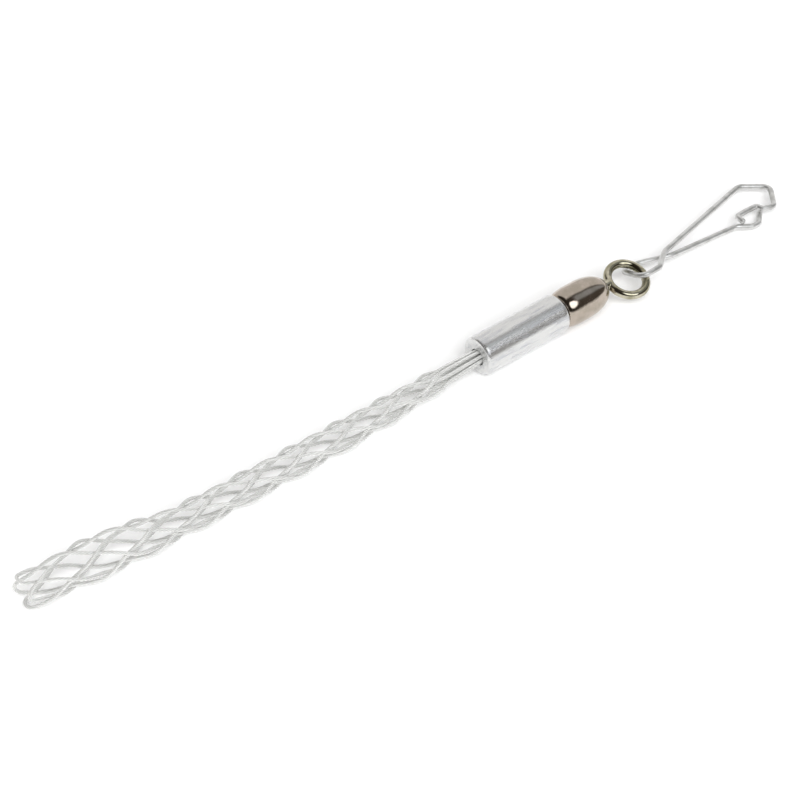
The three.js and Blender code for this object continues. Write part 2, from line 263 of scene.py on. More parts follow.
# %% Table
TABLE_HALF_WIDTH = 1.5
TABLE_WHITE = grey(0.9)
TABLE_ROUGHNESS = 0.9
TABLE_GLOW = 0.1


def table_top():
    mesh = bpy.data.meshes.new("table")
    side = TABLE_HALF_WIDTH
    corners = [(-side, -side, 0), (side, -side, 0), (side, side, 0), (-side, side, 0)]
    mesh.from_pydata(corners, [], [(0, 1, 2, 3)])
    table = link(bpy.data.objects.new("table", mesh))
    material = bpy.data.materials.new("white_table")
    material.use_nodes = True
    shader = material.node_tree.nodes["Principled BSDF"]
    shader.inputs["Base Color"].default_value = TABLE_WHITE
    shader.inputs["Roughness"].default_value = TABLE_ROUGHNESS
    shader.inputs["Specular IOR Level"].default_value = 0.0
    shader.inputs["Emission Color"].default_value = grey(1.0)
    shader.inputs["Emission Strength"].default_value = TABLE_GLOW
    mesh.materials.append(material)


table_top()
print("table", 2 * TABLE_HALF_WIDTH, "m wide")

# %% Fill light
FILL_STRENGTH = 3.0
FILL_SPREAD = 55


def fill_light():
    """A wide soft light from the camera's side. Its shadows lie behind the tool and in its mesh."""
    data = bpy.data.lights.new("fill_light", "SUN")
    data.energy = FILL_STRENGTH
    data.angle = math.radians(FILL_SPREAD)
    fill = link(bpy.data.objects.new("fill_light", data))
    fill.rotation_mode = "QUATERNION"
    fill.rotation_quaternion = back.to_track_quat("Z", "Y")
    fill.visible_glossy = False


fill_light()
print("fill light", FILL_SPREAD, "degrees wide")

# %% [markdown]
# ## Finishes
# Every finish is a bare metal, so most of its look is roughness and fine relief. Drawn wire has
# faint lines. The zinc on the strands has a patchy bloom and is dull in part, so it mirrors less
# than the rest, and the grooves between its thin wires are painted dark as shade. The ferrule is
# turned and polished. Dark nickel plate is glossy over a brownish grey, with an olive cast on the
# ring. Patterns are read from the object's own coordinates, so that they stay on the metal when a
# piece turns.

# %% Zinc on the strands
ZINC_PALE = (0.88, 0.88, 0.86, 1)
ZINC_GREY = (0.69, 0.695, 0.68, 1)
# Painted shade: a near-black colour laid in the grooves between the thin wires. It fades out
# between the two crown heights that follow.
GROOVE_PAINTED_SHADE = (0.07, 0.07, 0.066, 1)
SHADE_FULL_CROWN, SHADE_GONE_CROWN = 0.6, 0.93


def metal(name, metallic=1.0):
    """A bare metal: its material, and its shader with the coordinates that patterns read."""
    material = bpy.data.materials.new(name)
    material.use_nodes = True
    shader = material.node_tree.nodes["Principled BSDF"]
    shader.inputs["Metallic"].default_value = metallic
    coordinates = material.node_tree.nodes.new("ShaderNodeTexCoord").outputs["Object"]
    return material, shader, Field(coordinates)


def noise(coordinates, scale, detail=2.0, rough=0.5, stretch=(1, 1, 1)):
    """Noise with about this many lumps to the millimetre, drawn out along X, Y or Z."""
    lumps = tuple(scale / MM / factor for factor in stretch)
    inputs = {
        "Vector": coordinates.vector("MULTIPLY", coordinates, lumps),
        "Scale": 1.0,
        "Detail": detail,
        "Roughness": rough,
    }
    return coordinates.node("ShaderNodeTexNoise", {"noise_dimensions": "3D"}, inputs)


def connect(shader, **fields):
    """Links fields to the shader's sockets, named with _ for a space."""
    for name, field in fields.items():
        field.tree.links.new(field.socket, shader.inputs[name.replace("_", " ")])


def relief(height, strength, depth):
    """A bump of some depth in millimetres."""
    inputs = {"Height": height, "Strength": strength, "Distance": depth * MM}
    return height.node("ShaderNodeBump", inputs=inputs)


def galvanised_strand():
    material, shader, surface = metal("galvanised_strand", metallic=0.4)
    bloom = noise(surface, 0.9, detail=3)
    crown = surface.node("ShaderNodeAttribute", {"attribute_name": "crown"}, output=2)
    # Painted shade: low on the crown, down in the grooves, the zinc colour gives way to near black.
    clear_of_painted_shade = crown.between(SHADE_FULL_CROWN, SHADE_GONE_CROWN)
    zinc = bloom.blend(ZINC_PALE, ZINC_GREY)
    connect(shader, Base_Color=clear_of_painted_shade.blend(GROOVE_PAINTED_SHADE, zinc))
    connect(shader, Roughness=0.12 + 0.12 * bloom)
    connect(shader, Normal=relief(noise(surface, 14), strength=0.25, depth=0.01))
    return material


strand_finish = galvanised_strand()
print("finish made:", strand_finish.name)

# %% Polished aluminium on the ferrule
ALUMINIUM = (0.7, 0.7, 0.69, 1)
ALUMINIUM_SCUFFED = (0.56, 0.565, 0.585, 1)


def polished_aluminium():
    material, shader, surface = metal("polished_ferrule", metallic=0.82)
    turning = noise(surface, 9, stretch=(0.25, 6, 6))
    scuffs = noise(surface, 1.6, detail=4, rough=0.65, stretch=(8, 1, 1))
    scuffed = scuffs.between(0.44, 0.68)
    connect(shader, Base_Color=scuffed.blend(ALUMINIUM, ALUMINIUM_SCUFFED))
    connect(shader, Roughness=0.16 + 0.14 * scuffed + 0.06 * turning)
    height = turning * 0.4 + scuffs * 0.6
    connect(shader, Normal=relief(height, strength=0.6, depth=0.05))
    return material


ferrule_finish = polished_aluminium()
print("finish made:", ferrule_finish.name)

# %% Dark nickel on the barrel and the eye
NICKEL_FRESH = (0.5, 0.43, 0.37, 1)
NICKEL_AGED = (0.41, 0.36, 0.3, 1)
NICKEL_SPECK = (0.33, 0.30, 0.25, 1)
OLIVE_FRESH = (0.58, 0.545, 0.435, 1)
OLIVE_AGED = (0.32, 0.3, 0.205, 1)


def dark_nickel(name, fresh, aged):
    material, shader, surface = metal(name)
    tint = noise(surface, 0.5, detail=3).between(0.35, 0.65)
    speck = noise(surface, 6, detail=3, rough=0.6).between(0.5, 0.75)
    connect(shader, Base_Color=(speck * 0.5).blend(tint.blend(fresh, aged), NICKEL_SPECK))
    connect(shader, Roughness=0.1 + 0.08 * speck)
    connect(shader, Normal=relief(noise(surface, 0.9), strength=0.5, depth=0.05))
    return material


nickel_finish = dark_nickel("dark_nickel", NICKEL_FRESH, NICKEL_AGED)
eye_finish = dark_nickel("olive_nickel", OLIVE_FRESH, OLIVE_AGED)
print("finishes made:", nickel_finish.name, eye_finish.name)

# %% Ground steel in the bearing
STEEL_PALE = (0.80, 0.80, 0.80, 1)
STEEL_GREY = (0.72, 0.72, 0.73, 1)


def ground_steel():
    material, shader, surface = metal("bearing_steel")
    grinding = noise(surface, 7, stretch=(1, 4, 4))
    connect(shader, Base_Color=grinding.blend(STEEL_PALE, STEEL_GREY))
    connect(shader, Roughness=0.08 + 0.1 * grinding)
    return material


steel_finish = ground_steel()
print("finish made:", steel_finish.name)

# %% Drawn spring wire on the clip
SPRING_BRIGHT = (0.66, 0.66, 0.65, 1)
SPRING_DULL = (0.48, 0.48, 0.465, 1)


def spring_wire():
    material, shader, surface = metal("spring_wire", metallic=0.8)
    drawing = noise(surface, 6, detail=3, stretch=(12, 2, 1))
    dull = noise(surface, 0.5).between(0.4, 0.7)
    connect(shader, Base_Color=dull.blend(SPRING_BRIGHT, SPRING_DULL))
    connect(shader, Roughness=0.26 + 0.14 * drawing)
    connect(shader, Normal=relief(drawing, strength=0.3, depth=0.015))
    return material


wire_finish = spring_wire()
print("finish made:", wire_finish.name)

# %% [markdown]
# ## The sleeve's strands
# The sleeve is four strands. Each one leaves the ferrule, winds round the sleeve, turns back in a
# loop at the open end and winds on round to the ferrule, going over one crossing and under the
# next. The middle line follows that rule, worked out below with the same sizes as the solids have.
# Each strand is itself a rope of six thin wires laid round a seventh. A helix round a moving frame
# is just what Geometry Nodes do well: the line is copied once for each wire, each copy is pushed
# out from the line at its own angle, and a round section is swept along it.

# %% The strands' middle lines
STRAND_COUNT = 4
STRAND_RADIUS = 0.31
WEAVE_GAP = 0.1
SLEEVE_LENGTH = 86.8
ROW_SPACING = 4.65
LOOP_FILL = 2 / 3
FIRST_LOOP_ANGLE = 74
NECK_LENGTH = 4
BUNDLE_GAP = 0.2
BODY_RADIUS = 2.1
TAIL_RADIUS = 2.95
TIP_RADIUS = 2.35
TAPER_LENGTH = 32
TAPER_EASE = 1.5
FLARE_START = 28
FLARE_LENGTH = 14
CLOSING_LENGTH = 10
SLEEVE_BOW = 3.4
BOW_POWER = 4
SETTLE_LENGTH = 32
STRAND_DEPTH = 8.5
TURN_EASE = 6
EASE_LIMIT = 30
LINE_STEPS = 1600

loop_pitch = 360 / STRAND_COUNT
row_angle = loop_pitch / 2
turn_rate = row_angle / ROW_SPACING
loop_half_angle = LOOP_FILL * loop_pitch / 2
weave_rise = STRAND_RADIUS + WEAVE_GAP / 2
bundle_radius = (STRAND_RADIUS + BUNDLE_GAP / 2) / math.sin(math.radians(row_angle / 2))
arm_slope = math.atan2(1, math.radians(turn_rate) * TIP_RADIUS)
loop_bend = math.radians(loop_half_angle) * TIP_RADIUS / math.sin(arm_slope)
loop_base = SLEEVE_LENGTH - loop_bend * (1 - math.cos(arm_slope))
rows_at_neck = (loop_half_angle + turn_rate * (loop_base - NECK_LENGTH)) / row_angle
last_turn = (math.floor(rows_at_neck - 0.5) + 0.5) * row_angle
strand_sweep = loop_half_angle + turn_rate * (loop_base + STRAND_DEPTH)


def smooth(value, low, high):
    """0 up to low, 1 from high, and a smooth rise between them."""
    share = min(max((value - low) / (high - low), 0), 1)
    return share * share * (3 - 2 * share)


def weave_radius(distance):
    """Radius of the weave's middle surface, at a distance from the ferrule."""
    narrow = 1 - min(max(distance / TAPER_LENGTH, 0), 1)
    body = BODY_RADIUS + (bundle_radius - BODY_RADIUS) * narrow**TAPER_EASE
    flare_from = SLEEVE_LENGTH - FLARE_START
    flare = smooth(distance, flare_from, flare_from + FLARE_LENGTH)
    closing = smooth(distance, SLEEVE_LENGTH - CLOSING_LENGTH, SLEEVE_LENGTH)
    return body + (TAIL_RADIUS - BODY_RADIUS) * flare + (TIP_RADIUS - TAIL_RADIUS) * closing


def sleeve_centre(distance):
    """Middle line of the sleeve, which comes down to the table and lies off to a side."""
    settled = smooth(distance, 0, SETTLE_LENGTH)
    on_table = weave_radius(distance) + weave_rise + STRAND_RADIUS
    side = SLEEVE_BOW * (max(distance, 0) / SLEEVE_LENGTH) ** BOW_POWER
    return Vector((-distance, side, AXIS_HEIGHT + (on_table - AXIS_HEIGHT) * settled))


def eased(value):
    """The value itself where it is well above 0, which runs out smoothly to 0 below."""
    return value if value > EASE_LIMIT else math.log1p(math.exp(value))


def strand_point(loop_angle, share):
    """A point on a strand's middle line, at a share of its sweep from end to end."""
    sweep = (2 * share - 1) * strand_sweep
    side = (sweep > 0) - (sweep < 0)
    travel = abs(sweep)
    turn = last_turn - TURN_EASE * eased((last_turn - travel) / TURN_EASE)
    distance = loop_base - (travel - loop_half_angle) / turn_rate
    if travel < loop_half_angle:
        bend = math.asin(travel / loop_half_angle * math.sin(arm_slope))
        distance = loop_base + loop_bend * (math.cos(bend) - math.cos(arm_slope))
    row = turn / row_angle
    wave = math.sin(math.pi * row / 2) if row < 1 else math.cos(math.pi * (row - 1))
    radius = weave_radius(distance) - side * weave_rise * wave
    angle = math.radians(loop_angle + side * turn)
    return sleeve_centre(distance) + Vector((0, radius * math.cos(angle), radius * math.sin(angle)))


def strand_line(index):
    loop_angle = FIRST_LOOP_ANGLE + index * loop_pitch
    return [strand_point(loop_angle, step / LINE_STEPS) for step in range(LINE_STEPS + 1)]


strand_lines = [strand_line(index) for index in range(STRAND_COUNT)]
first = strand_lines[0]
strand_length = sum((b - a).length for a, b in zip(first, first[1:]))
print(f"{STRAND_COUNT} strands, each {strand_length:.0f} mm long from end to end")

# %% Tools for Geometry Nodes
def line_object(name, points):
    """An object that holds only a line through points given in millimetres."""
    mesh = bpy.data.meshes.new(name)
    edges = [(index, index + 1) for index in range(len(points) - 1)]
    mesh.from_pydata([place(point) for point in points], edges, [])
    return link(bpy.data.objects.new(name, mesh))


def shape_tree(name, **sizes):
    """A Geometry Nodes tree with named inputs: the tree, and each input as a field."""
    tree = bpy.data.node_groups.new(name, "GeometryNodeTree")
    kinds = {"Geometry": "Geometry", **sizes, "Finish": "Material"}
    for label, kind in kinds.items():
        title = label.replace("_", " ")
        tree.interface.new_socket(title, in_out="INPUT", socket_type=f"NodeSocket{kind}")
    tree.interface.new_socket("Geometry", in_out="OUTPUT", socket_type="NodeSocketGeometry")
    source = tree.nodes.new("NodeGroupInput")
    return tree, {label: Field(source.outputs[label.replace("_", " ")]) for label in kinds}


def end_tree(tree, geometry, finish):
    """Ends a tree in real geometry with its finish on it."""
    shaded = geometry.node("GeometryNodeSetShadeSmooth", inputs={"Geometry": geometry})
    real = geometry.node("GeometryNodeRealizeInstances", inputs={"Geometry": shaded})
    inputs = {"Geometry": real, "Material": finish}
    painted = geometry.node("GeometryNodeSetMaterial", inputs=inputs)
    tree.links.new(painted.socket, tree.nodes.new("NodeGroupOutput").inputs[0])


def settle(made):
    """Keeps what an object's modifiers make as its plain mesh, and takes them off."""
    graph = bpy.context.evaluated_depsgraph_get()
    graph.update()
    mesh = bpy.data.meshes.new_from_object(made.evaluated_get(graph), depsgraph=graph)
    made.modifiers.clear()
    mesh.name = made.name
    made.data = mesh
    return made


def grow(made, tree, **values):
    """Runs a tree on an object and keeps what it makes."""
    modifier = made.modifiers.new("shape", "NODES")
    modifier.node_group = tree
    for socket in tree.interface.items_tree:
        label = socket.name.replace(" ", "_")
        if socket.in_out == "INPUT" and label in values:
            modifier[socket.identifier] = values[label]
    return settle(made)


def even_line(start, step):
    """A line as a curve of even steps, whose own frame twists as little as it can."""
    line = start.node("GeometryNodeMeshToCurve", inputs={"Mesh": start})
    inputs = {"Curve": line, "Length": step}
    line = start.node("GeometryNodeResampleCurve", {"mode": "LENGTH"}, inputs)
    return start.node("GeometryNodeSetCurveNormal", {"mode": "MINIMUM_TWIST"}, {"Curve": line})


def swept(line, radius, section, scale=1.0):
    """A round wire along a line, closed at both ends."""
    inputs = {"Resolution": section, "Radius": radius}
    circle = line.node("GeometryNodeCurvePrimitiveCircle", inputs=inputs)
    inputs = {"Curve": line, "Profile Curve": circle, "Scale": scale, "Fill Caps": True}
    return line.node("GeometryNodeCurveToMesh", inputs=inputs)


def fit(made, body, slot, *nodes):
    """Puts a finished piece on its body, in place of the solids that it shows."""
    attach(made, body)
    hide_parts(*nodes)
    count = sum(len(face.vertices) - 2 for face in made.data.polygons)
    print(f"{made.name}: {count} triangles, on {body}")
    return made


print("geometry tools ready")

# %% A rope of thin wires
WIRES_ROUND = 6
LAY_LENGTH = 3.9
ROPE_RADIUS = 0.3
ROPE_STEP = 0.24
WIRE_SECTION = 7
WIRES_ACROSS = 3


def laid_rope():
    """Thin wires laid in helixes round a straight one, with their height kept as the crown."""
    sizes = {"Wires": "Int", "Rope_radius": "Float", "Lay_length": "Float", "Step": "Float"}
    tree, given = shape_tree("laid_rope", **sizes, Section="Int")
    start = given["Geometry"]
    line = even_line(start, given["Step"])
    kept = {"out": "VECTOR", "forward": "VECTOR", "middle": "VECTOR", "travelled": "FLOAT"}
    inputs = {
        "Geometry": line,
        "out": start.node("GeometryNodeInputNormal"),
        "forward": start.node("GeometryNodeInputTangent"),
        "middle": start.node("GeometryNodeInputPosition"),
        "travelled": start.node("GeometryNodeSplineParameter", output="Length"),
    }
    line = start.node("GeometryNodeCaptureAttribute", {"captures": kept}, inputs)
    wire_radius = given["Rope_radius"] / WIRES_ACROSS
    inputs = {"Geometry": line, "Amount": given["Wires"]}
    copies = start.node("GeometryNodeDuplicateElements", {"domain": "SPLINE"}, inputs)
    share = copies.other("Duplicate Index") / given["Wires"]
    turn = (line.other("travelled") / given["Lay_length"] + share) * math.tau
    sideways = line.vector("CROSS_PRODUCT", line.other("forward"), line.other("out"))
    reach = wire_radius * 2
    offset = line.vector(
        "ADD",
        line.other("out").scaled(reach * turn.math("COSINE", turn)),
        sideways.scaled(reach * turn.math("SINE", turn)),
    )
    laid = start.node("GeometryNodeSetPosition", inputs={"Geometry": copies, "Offset": offset})
    wires = [swept(part, wire_radius, given["Section"]) for part in (laid, line)]
    rope = start.node("GeometryNodeJoinGeometry", inputs={"Geometry": wires})
    # The crown height kept here is what lays the painted shade in the grooves of the zinc finish.
    position = start.node("GeometryNodeInputPosition")
    from_middle = line.vector("DISTANCE", position, line.other("middle"), output=1)
    inputs = {"Geometry": rope, "Name": "crown", "Value": from_middle / given["Rope_radius"]}
    rope = start.node("GeometryNodeStoreNamedAttribute", {"data_type": "FLOAT"}, inputs)
    end_tree(tree, rope, given["Finish"])
    return tree


rope_tree = laid_rope()
for index, line in enumerate(strand_lines):
    strand = grow(
        line_object(f"laid_strand_{index + 1}", line),
        rope_tree,
        Wires=WIRES_ROUND,
        Rope_radius=ROPE_RADIUS * MM,
        Lay_length=LAY_LENGTH * MM,
        Step=ROPE_STEP * MM,
        Section=WIRE_SECTION,
        Finish=strand_finish,
    )
    fit(strand, "grip", "galvanised_strand", f"mesh_strand_{index + 1}")

# %% [markdown]
# ## Turned pieces
# The ferrule, the barrel, the stud, the collar and the races are all turned on a lathe, so each is
# an outline swept round the tool's axis. A sharp corner never catches the light, and no real edge
# is quite sharp, so every corner gets a small fillet, with a loop close beside it that keeps the
# flat faces flat when they are shaded smooth.

# %% An outline with its corners rounded
FILLET_STEPS = 6
FILLET_SHARE = 0.4
LOOP_DISTANCE = 1.5
LOOP_SHARE = 0.45


def curve(start, corner, end, steps):
    """Points on the curve that sets out from the start to a corner and turns to the end."""
    shares = [step / steps for step in range(steps + 1)]
    return [start.lerp(corner, share).lerp(corner.lerp(end, share), share) for share in shares]


def rounded(corners, fillet):
    """A closed outline of (along, radius) whose corners off the axis are rounded."""
    outline = []
    for index, corner in enumerate(corners):
        at = Vector(corner[:2])
        before = Vector(corners[index - 1][:2]) - at
        after = Vector(corners[(index + 1) % len(corners)][:2]) - at
        radius = corner[2] if len(corner) > 2 else fillet
        if at.y == 0 or radius == 0:
            outline.append(at)
            continue
        most = FILLET_SHARE * min(before.length, after.length)
        cut = min(radius / math.tan(before.angle(after) / 2), most)
        loops = [
            at + side.normalized() * min(LOOP_DISTANCE * cut, LOOP_SHARE * side.length)
            for side in (before, after)
        ]
        start, end = at + before.normalized() * cut, at + after.normalized() * cut
        outline += [loops[0], *curve(start, at, end, FILLET_STEPS), loops[1]]
    return outline


print("outlines ready")

# %% An outline turned round the axis
TURNED_SIDES = 128


def turned(name, outline, finish):
    """A closed outline of (along, radius) in millimetres, swept round the tool's axis."""
    mesh = bpy.data.meshes.new(name)
    form = bmesh.new()
    rings = []
    for along, radius in outline:
        sides = TURNED_SIDES if radius > 0 else 1
        ring = []
        for side in range(sides):
            angle = math.tau * side / TURNED_SIDES
            across, up = radius * math.cos(angle), radius * math.sin(angle)
            ring.append(form.verts.new(place((along, across, AXIS_HEIGHT + up))))
        rings.append(ring)
    for ring, following in zip(rings, rings[1:] + rings[:1]):
        if len(ring) == len(following) == 1:
            continue
        for side in range(TURNED_SIDES):
            turn = (side, (side + 1) % TURNED_SIDES)
            corners = [ring[turn[0] % len(ring)], ring[turn[1] % len(ring)]]
            corners += [following[turn[1] % len(following)], following[turn[0] % len(following)]]
            form.faces.new(list(dict.fromkeys(corners)))
    bmesh.ops.recalc_face_normals(form, faces=form.faces)
    form.to_mesh(mesh)
    form.free()
    mesh.shade_smooth()
    mesh.materials.append(finish)
    return link(bpy.data.objects.new(name, mesh))


print("lathe ready")

# %% Ferrule
BUNDLE_CLEARANCE = 0.11
FERRULE_FILLET = 0.7
BORE_FILLET = 0.12

bore_radius = bundle_radius + STRAND_RADIUS + BUNDLE_CLEARANCE
ferrule_corners = [
    (0, bore_radius, BORE_FILLET),
    (0, FERRULE_RADIUS, FERRULE_FILLET),
    (FERRULE_LENGTH, FERRULE_RADIUS, FERRULE_FILLET),
    (FERRULE_LENGTH, bore_radius, BORE_FILLET),
]
ferrule = turned("ferrule_sleeve", rounded(ferrule_corners, BORE_FILLET), ferrule_finish)
fit(ferrule, "grip", "polished_ferrule", "crimp_ferrule")

# %% Barrel
BARREL_WALL = 0.8
REAR_ROUNDING = 0.95
REAR_ROUNDING_LENGTH = 3
NOSE_LENGTH = 6.3
NOSE_FULLNESS = 2.3
NOSE_LAND = 0.3
SHANK_RADIUS = 0.85
SHANK_CLEARANCE = 0.12
STUD_CLEARANCE = 0.1
CURVE_STEPS = 28

barrel_start, barrel_end = along_axis("swivel_barrel")
barrel_low, barrel_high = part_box("swivel_barrel")
barrel_radius = (barrel_high.z - barrel_low.z) / 2 / MM
nose_bore = SHANK_RADIUS + SHANK_CLEARANCE
nose_tip = nose_bore + NOSE_LAND
nose_power = 2 / NOSE_FULLNESS
nose_stop = math.acos((nose_tip / barrel_radius) ** (1 / nose_power))
nose_start = barrel_end - NOSE_LENGTH * math.sin(nose_stop) ** nose_power
shoulder = along_axis("nose_race")[1] + STUD_CLEARANCE


def barrel_outline():
    """The outer curve from the nose's tip back to the rear, then the hollow's corners."""
    points = []
    for step in range(CURVE_STEPS + 1):
        angle = nose_stop * (1 - step / CURVE_STEPS)
        along = nose_start + NOSE_LENGTH * math.sin(angle) ** nose_power
        points.append((along, barrel_radius * math.cos(angle) ** nose_power, 0))
    for step in range(CURVE_STEPS + 1):
        angle = math.pi / 2 * step / CURVE_STEPS
        along = barrel_start + REAR_ROUNDING_LENGTH * (1 - math.sin(angle))
        points.append((along, barrel_radius - REAR_ROUNDING * (1 - math.cos(angle)), 0))
    cavity = barrel_radius - BARREL_WALL
    return points + [
        (barrel_start, bore_radius, BORE_FILLET),
        (barrel_start + BARREL_WALL, bore_radius, BORE_FILLET),
        (barrel_start + BARREL_WALL, cavity, BORE_FILLET),
        (shoulder, cavity, BORE_FILLET),
        (shoulder, nose_bore, BORE_FILLET),
        (barrel_end, nose_bore, BORE_FILLET),
    ]


barrel = turned("barrel_shell", rounded(barrel_outline(), BORE_FILLET), nickel_finish)
fit(barrel, "grip", "dark_nickel", "swivel_barrel")

# %% [markdown]
# ## Inside the swivel
# A thrust bearing lets the ring turn under load. The tail stud's head holds the barrel to the
# ferrule. In the nose, eight balls run between two races, and a collar riveted on the eye's shank
# pulls against them. None of it shows from outside, but it is there and it is finished.

# %% Stud, collar and races
EDGE_FILLET = 0.08
STUD_HEAD_LENGTH = 1.1
STUD_HEAD_RADIUS = 2.5

stud_start, stud_end = along_axis("tail_stud")
stud_radius = bore_radius - STUD_CLEARANCE
stud_corners = [
    (stud_start, 0),
    (stud_start, stud_radius),
    (stud_end - STUD_HEAD_LENGTH, stud_radius),
    (stud_end - STUD_HEAD_LENGTH, STUD_HEAD_RADIUS),
    (stud_end, STUD_HEAD_RADIUS),
    (stud_end, 0),
]
stud = turned("stud", rounded(stud_corners, EDGE_FILLET), nickel_finish)
fit(stud, "grip", "dark_nickel", "tail_stud")


def washer(name, node, finish, slot, body):
    """A pierced disc as long and as wide as its solid, running on the eye's shank."""
    start, end = along_axis(node)
    low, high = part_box(node)
    outer = (high.y - low.y) / 2 / MM
    corners = [(start, nose_bore), (start, outer), (end, outer), (end, nose_bore)]
    made = turned(name, rounded(corners, EDGE_FILLET), finish)
    return fit(made, body, slot, node)


washer("race_in_nose", "nose_race", steel_finish, "bearing_steel", "grip")
washer("race_on_collar", "collar_race", steel_finish, "bearing_steel", "eye")
washer("collar", "shank_collar", nickel_finish, "dark_nickel", "eye")

# %% Balls in a circle
BALL_COUNT = 8
BALL_CIRCLE = 1.75
BALL_FINENESS = 4


def ball_circle():
    """Balls on an upright circle round the tool's axis."""
    sizes = {"Balls": "Int", "Circle_radius": "Float", "Ball_radius": "Float", "Middle": "Vector"}
    tree, given = shape_tree("ball_circle", **sizes, Fineness="Int")
    start = given["Geometry"]
    inputs = {"Vertices": given["Balls"], "Radius": given["Circle_radius"]}
    circle = start.node("GeometryNodeMeshCircle", inputs=inputs)
    upright = (0, math.pi / 2, 0)
    inputs = {"Geometry": circle, "Rotation": upright, "Translation": given["Middle"]}
    circle = start.node("GeometryNodeTransform", inputs=inputs)
    inputs = {"Radius": given["Ball_radius"], "Subdivisions": given["Fineness"]}
    ball = start.node("GeometryNodeMeshIcoSphere", inputs=inputs)
    inputs = {"Points": circle, "Instance": ball}
    balls = start.node("GeometryNodeInstanceOnPoints", inputs=inputs)
    end_tree(tree, balls, given["Finish"])
    return tree


ball_start, ball_end = along_axis("bearing_ball_1")
balls = grow(
    line_object("bearing_balls", [(ball_start, 0, 0)]),
    ball_circle(),
    Balls=BALL_COUNT,
    Circle_radius=BALL_CIRCLE * MM,
    Ball_radius=(ball_end - ball_start) / 2 * MM,
    Middle=place(((ball_start + ball_end) / 2, 0, AXIS_HEIGHT)),
    Fineness=BALL_FINENESS,
    Finish=steel_finish,
)
ball_nodes = [f"bearing_ball_{number + 1}" for number in range(BALL_COUNT)]
fit(balls, "grip", "bearing_steel", *ball_nodes)

# %% [markdown]
# ## The eye
# The ring and its shank are one piece: the wire runs out of the swivel and closes on itself with no
# seam left to see. A torus and a turned shank are joined, and the join is remeshed and smoothed, so
# that it has the soft fillet of a forged or brazed eye. A sweep along one path would pinch there.
# The ring shown is a hair thinner than the solid's, so that none of it passes the solid.

# %% The ring
RING_RADIUS = 3.48
RING_WIRE_RADIUS = 0.8
RING_SHOWN_RADIUS = 0.765
RING_DROP = 0.88
RING_STANDOFF = 0.55
EYE_TILT = 17
RING_SIDES = 160
RING_SECTION = 36

ring_centre = barrel_end + RING_STANDOFF + RING_WIRE_RADIUS + RING_RADIUS
tilt = math.radians(EYE_TILT)


def on_eye(point):
    """A point given in the eye's own axes, in which its ring lies flat."""
    along, across, up = point
    turned_across = across * math.cos(tilt) - up * math.sin(tilt)
    turned_up = across * math.sin(tilt) + up * math.cos(tilt)
    return place((along, turned_across, AXIS_HEIGHT + turned_up))


def ring_mesh():
    """The ring's torus as points and faces."""
    points, faces = [], []
    for step in range(RING_SIDES):
        around = math.tau * step / RING_SIDES
        for side in range(RING_SECTION):
            angle = math.tau * side / RING_SECTION
            out = RING_RADIUS + RING_SHOWN_RADIUS * math.cos(angle)
            point = (ring_centre + out * math.cos(around), out * math.sin(around) - RING_DROP)
            points.append(on_eye((*point, RING_SHOWN_RADIUS * math.sin(angle))))
            following = (step + 1) % RING_SIDES
            beside = (side + 1) % RING_SECTION
            faces.append([
                step * RING_SECTION + side, following * RING_SECTION + side,
                following * RING_SECTION + beside, step * RING_SECTION + beside,
            ])
    mesh = bpy.data.meshes.new("ring")
    mesh.from_pydata(points, [], faces)
    return mesh


print(f"ring's middle {ring_centre:.1f} mm from the ferrule's near face")

# %% Shank and ring made one
RIVET_LENGTH = 0.5
RIVET_RADIUS = 1.3
EYE_VOXEL = 0.075
EYE_SOFTENING = 0.5
EYE_SOFTENING_ROUNDS = 6


def eye_piece():
    """The turned shank with its riveted end, joined to the ring."""
    shank_start = along_axis("swivel_eye")[0]
    shank_end = ring_centre - RING_RADIUS
    corners = [
        (shank_start, 0),
        (shank_start, RIVET_RADIUS),
        (shank_start + RIVET_LENGTH, RIVET_RADIUS),
        (shank_start + RIVET_LENGTH, SHANK_RADIUS),
        (shank_end, SHANK_RADIUS),
        (shank_end, 0),
    ]
    made = turned("eye_ring", rounded(corners, EDGE_FILLET), eye_finish)
    form = bmesh.new()
    form.from_mesh(made.data)
    form.from_mesh(ring_mesh())
    form.to_mesh(made.data)
    form.free()
    remesh = made.modifiers.new("join", "REMESH")
    remesh.mode = "VOXEL"
    remesh.voxel_size = EYE_VOXEL * MM
    remesh.use_smooth_shade = True
    soften = made.modifiers.new("soften", "SMOOTH")
    soften.factor = EYE_SOFTENING
    soften.iterations = EYE_SOFTENING_ROUNDS
    return settle(made)


eye = eye_piece()
fit(eye, "eye", "dark_nickel", "swivel_eye")

# %% [markdown]
# ## The spring clip
# The clip is one bright wire bent by hand tools: straight runs and tight bends. Its near end loops
# round the ring, its two arms cross, and their hooked ends latch into each other. The line through
# its corners is the same as the solid's, and a Geometry Nodes tree sweeps the wire along it and
# rounds the cut ends, as a deburring wheel would. The wire shown is a hair thinner than the
# solid's, so that none of it passes the solid's flat sides.

